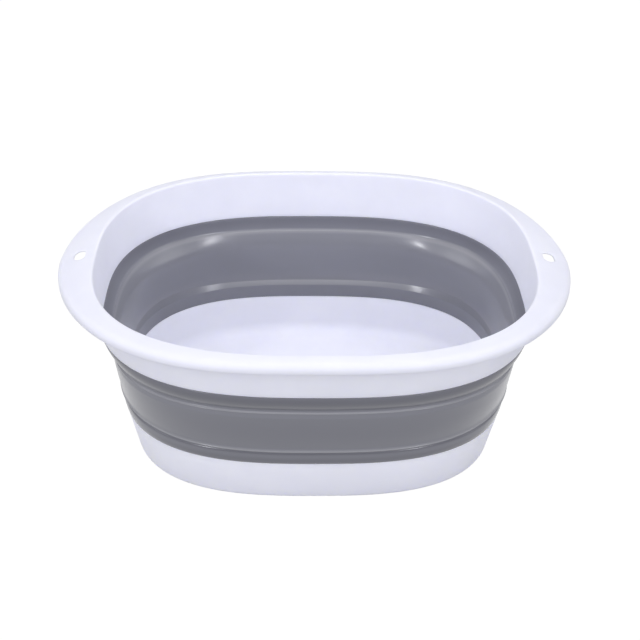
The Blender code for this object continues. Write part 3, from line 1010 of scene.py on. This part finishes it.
def show_to_camera(tree, share, plain, shown, output):
    """Show one shader as it is to rays that see, mirror or look through, and light with another."""
    path = tree.nodes.new("ShaderNodeLightPath")
    seen = math_node(tree, "MAXIMUM", path.outputs["Is Camera Ray"], path.outputs["Is Glossy Ray"])
    seen = math_node(tree, "MAXIMUM", seen, path.outputs["Is Transmission Ray"])
    blend = tree.nodes.new("ShaderNodeMixShader")
    tree.links.new(math_node(tree, "MULTIPLY", seen, share), blend.inputs["Fac"])
    tree.links.new(plain, blend.inputs[1])
    tree.links.new(shown, blend.inputs[2])
    tree.links.new(blend.outputs["Shader"], output.inputs["Surface"])


def add_floor(scene):
    """Add the pale floor, which shows nearly white and keeps the basin's shadow."""
    studio = scene.basin_studio
    sheet = bmesh.new()
    bmesh.ops.create_grid(sheet, x_segments=1, y_segments=1, size=studio.floor_size / 2)
    floor = add_mesh("floor", sheet)
    floor.location.z = -FLOOR_GAP
    material = bpy.data.materials.new("pale_floor")
    tree, shader = new_tree(material)
    set_sockets(shader, {"Base Color": studio.floor_shade, "Roughness": 0.8})
    glow = tree.nodes.new("ShaderNodeEmission")
    set_sockets(glow, {"Color": WHITE_LIGHT, "Strength": studio.floor_glow})
    output = tree.nodes["Material Output"]
    show_to_camera(tree, studio.floor_show, shader.outputs["BSDF"], glow.outputs["Emission"], output)
    floor.data.materials.append(material)


def add_world(scene):
    """Light the basin evenly from all round, and show white behind it."""
    studio = scene.basin_studio
    world = bpy.data.worlds.new("studio")
    world.use_nodes = True
    tree = world.node_tree
    tree.nodes.clear()
    soft = tree.nodes.new("ShaderNodeBackground")
    set_sockets(soft, {"Color": studio.light_tint, "Strength": studio.world_light})
    white = tree.nodes.new("ShaderNodeBackground")
    set_sockets(white, {"Color": WHITE_LIGHT})
    output = tree.nodes.new("ShaderNodeOutputWorld")
    show_to_camera(tree, 1.0, soft.outputs["Background"], white.outputs["Background"], output)
    scene.world = world


def from_front(azimuth, elevation):
    """Return a direction from the basin, given by its angles from the front."""
    level = math.cos(elevation)
    return Vector((level * math.sin(azimuth), -level * math.cos(azimuth), math.sin(elevation)))


def add_facing(name, data, place, way):
    """Add a lamp or the camera, at a place and facing one way."""
    added = link(name, data)
    added.location = place
    added.rotation_mode = "QUATERNION"
    added.rotation_quaternion = way.to_track_quat("-Z", "Y")
    return added


def add_lamp(scene, name, kind, place, way, energy, **shape):
    """Add a lamp of the studio's tint, at a place and facing one way, shaped as its kind allows."""
    data = bpy.data.lights.new(name, kind)
    data.energy = energy
    data.color = scene.basin_studio.light_tint
    for setting, value in shape.items():
        setattr(data, setting, value)
    add_facing(name, data, place, way)


def add_lamps(scene):
    """Add the large, far soft lights, the small boxes that the folds mirror, and the overhead box."""
    studio = scene.basin_studio
    for name, side, place, strength in (
        ("key_light", 1, KEY_PLACE, studio.key_light),
        ("left_light", -1, SIDE_PLACE, studio.side_light),
        ("right_light", 1, SIDE_PLACE, RIGHT_SIDE_SHARE * studio.side_light),
    ):
        turn, rise, width = [math.radians(angle) for angle in place]
        add_lamp(scene, name, "SUN", Vector(), -from_front(side * turn, rise), strength, angle=width)
    middle = Vector((0.0, 0.0, scene.basin_heights.upper_fold))
    for name, turn, (length, width), share in (
        ("right_glint", RIGHT_GLINT_TURN, RIGHT_GLINT_SIZE, RIGHT_GLINT_SHARE),
        ("left_glint", LEFT_GLINT_TURN, LEFT_GLINT_SIZE, 1.0),
    ):
        reach = GLINT_DISTANCE * from_front(turn, GLINT_RISE)
        power = share * studio.glint_power
        add_lamp(
            scene, name, "AREA", middle + reach, -reach, power, shape="ELLIPSE", size=length, size_y=width
        )
    overhead = Vector((0.0, -BEAM_LEAN, BEAM_HEIGHT))
    length, width = BEAM_SIZE
    add_lamp(
        scene, "overhead_beam", "AREA", overhead, Vector((0.0, BEAM_LEAN, 0.0)) - overhead,
        studio.beam_power, shape="ELLIPSE", size=length, size_y=width, spread=BEAM_SPREAD,
    )


def add_camera(scene):
    """Add the camera at the photograph's viewing angle."""
    studio = scene.basin_studio
    right = Vector((math.cos(studio.azimuth), math.sin(studio.azimuth), 0.0))
    target = right * studio.aside + Vector((0.0, 0.0, studio.target_height))
    back = from_front(studio.azimuth, studio.elevation)
    data = bpy.data.cameras.new("camera")
    data.lens = studio.lens
    data.shift_y = studio.shift
    camera = add_facing("camera", data, target + back * studio.distance, -back)
    roll = Quaternion((0.0, 0.0, 1.0), studio.roll)
    camera.rotation_quaternion = camera.rotation_quaternion @ roll
    scene.camera = camera


class BASIN_OT_rim_frame(bpy.types.Operator):
    """Build the white rim frame with its two grips and hanging holes"""

    bl_idname = "basin.rim_frame"
    bl_label = "Build Rim Frame"

    def execute(self, context):
        scene = context.scene
        lofted = loft(scene, rim_section, True)[0]
        piece = add_piece("rim_frame_moulding", lofted, white_plastic(scene))
        cut_hanging_holes(scene, piece)
        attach(piece, "rim")
        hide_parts("rim_frame")
        return {"FINISHED"}


class BASIN_OT_soft_wall(bpy.types.Operator):
    """Build the grey soft wall, which runs from the tray to the rim frame"""

    bl_idname = "basin.soft_wall"
    bl_label = "Build Soft Wall"

    def execute(self, context):
        scene = context.scene
        lofted = loft(scene, wall_section, True)[0]
        piece = add_piece("soft_wall_moulding", lofted, grey_elastomer(scene))
        mark_wall(scene, piece, wall_section(scene, *wall_stations(scene.basin_outline)[0]))
        add_waves(scene, piece)
        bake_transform(piece)
        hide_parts("lower_collar", "folding_band", "upper_collar")
        return {"FINISHED"}


class BASIN_OT_base_tray(bpy.types.Operator):
    """Build the white tray, with its floor and foot"""

    bl_idname = "basin.base_tray"
    bl_label = "Build Base Tray"

    def execute(self, context):
        scene = context.scene
        lofted, rows = loft(scene, tray_section, False)
        fill_middle(lofted, rows[0], scene.basin_tray.floor_rings)
        fill_middle(lofted, rows[-1], scene.basin_tray.floor_rings)
        add_gate_nub(scene, lofted)
        piece = add_piece("base_tray_moulding", lofted, white_plastic(scene))
        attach(piece, "base")
        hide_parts("base_tray")
        return {"FINISHED"}


class BASIN_OT_studio(bpy.types.Operator):
    """Set up the floor, the soft light and the camera"""

    bl_idname = "basin.studio"
    bl_label = "Set Up Studio"

    def execute(self, context):
        scene = context.scene
        add_floor(scene)
        add_world(scene)
        add_lamps(scene)
        add_camera(scene)
        scene.view_settings.view_transform = "Standard"
        return {"FINISHED"}


class BASIN_PT_washbasin(bpy.types.Panel):
    """Lists the washbasin's pieces and sizes"""

    bl_idname = "BASIN_PT_washbasin"
    bl_label = "Washbasin"
    bl_space_type = "VIEW_3D"
    bl_region_type = "UI"
    bl_category = "Washbasin"

    def draw(self, context):
        layout = self.layout
        for operator in OPERATORS:
            layout.operator(operator.bl_idname)
        for name, group in GROUPS.items():
            box = layout.box()
            box.label(text=group.__doc__.split(".")[0])
            settings = getattr(context.scene, name)
            for prop in settings.bl_rna.properties:
                if not prop.is_readonly and prop.identifier != "name":
                    box.prop(settings, prop.identifier)


GROUPS = {
    "basin_outline": BasinOutline,
    "basin_heights": BasinHeights,
    "basin_seams": SeamSizes,
    "basin_rim": RimSizes,
    "basin_wall": WallSizes,
    "basin_tray": TraySizes,
    "basin_finish": BasinFinish,
    "basin_studio": StudioSettings,
}
OPERATORS = (BASIN_OT_rim_frame, BASIN_OT_soft_wall, BASIN_OT_base_tray, BASIN_OT_studio)


def register():
    """Register the settings, the operators and the panel."""
    for name, group in GROUPS.items():
        bpy.utils.register_class(group)
        setattr(bpy.types.Scene, name, PointerProperty(type=group))
    for operator in OPERATORS:
        bpy.utils.register_class(operator)
    bpy.utils.register_class(BASIN_PT_washbasin)


def unregister():
    """Take the panel, the operators and the settings out again."""
    bpy.utils.unregister_class(BASIN_PT_washbasin)
    for operator in reversed(OPERATORS):
        bpy.utils.unregister_class(operator)
    for name, group in reversed(GROUPS.items()):
        delattr(bpy.types.Scene, name)
        bpy.utils.unregister_class(group)


def main():
    """Build the washbasin and its studio."""
    register()
    bpy.ops.basin.rim_frame()
    bpy.ops.basin.soft_wall()
    bpy.ops.basin.base_tray()
    bpy.ops.basin.studio()


if __name__ == "__main__":
    main()
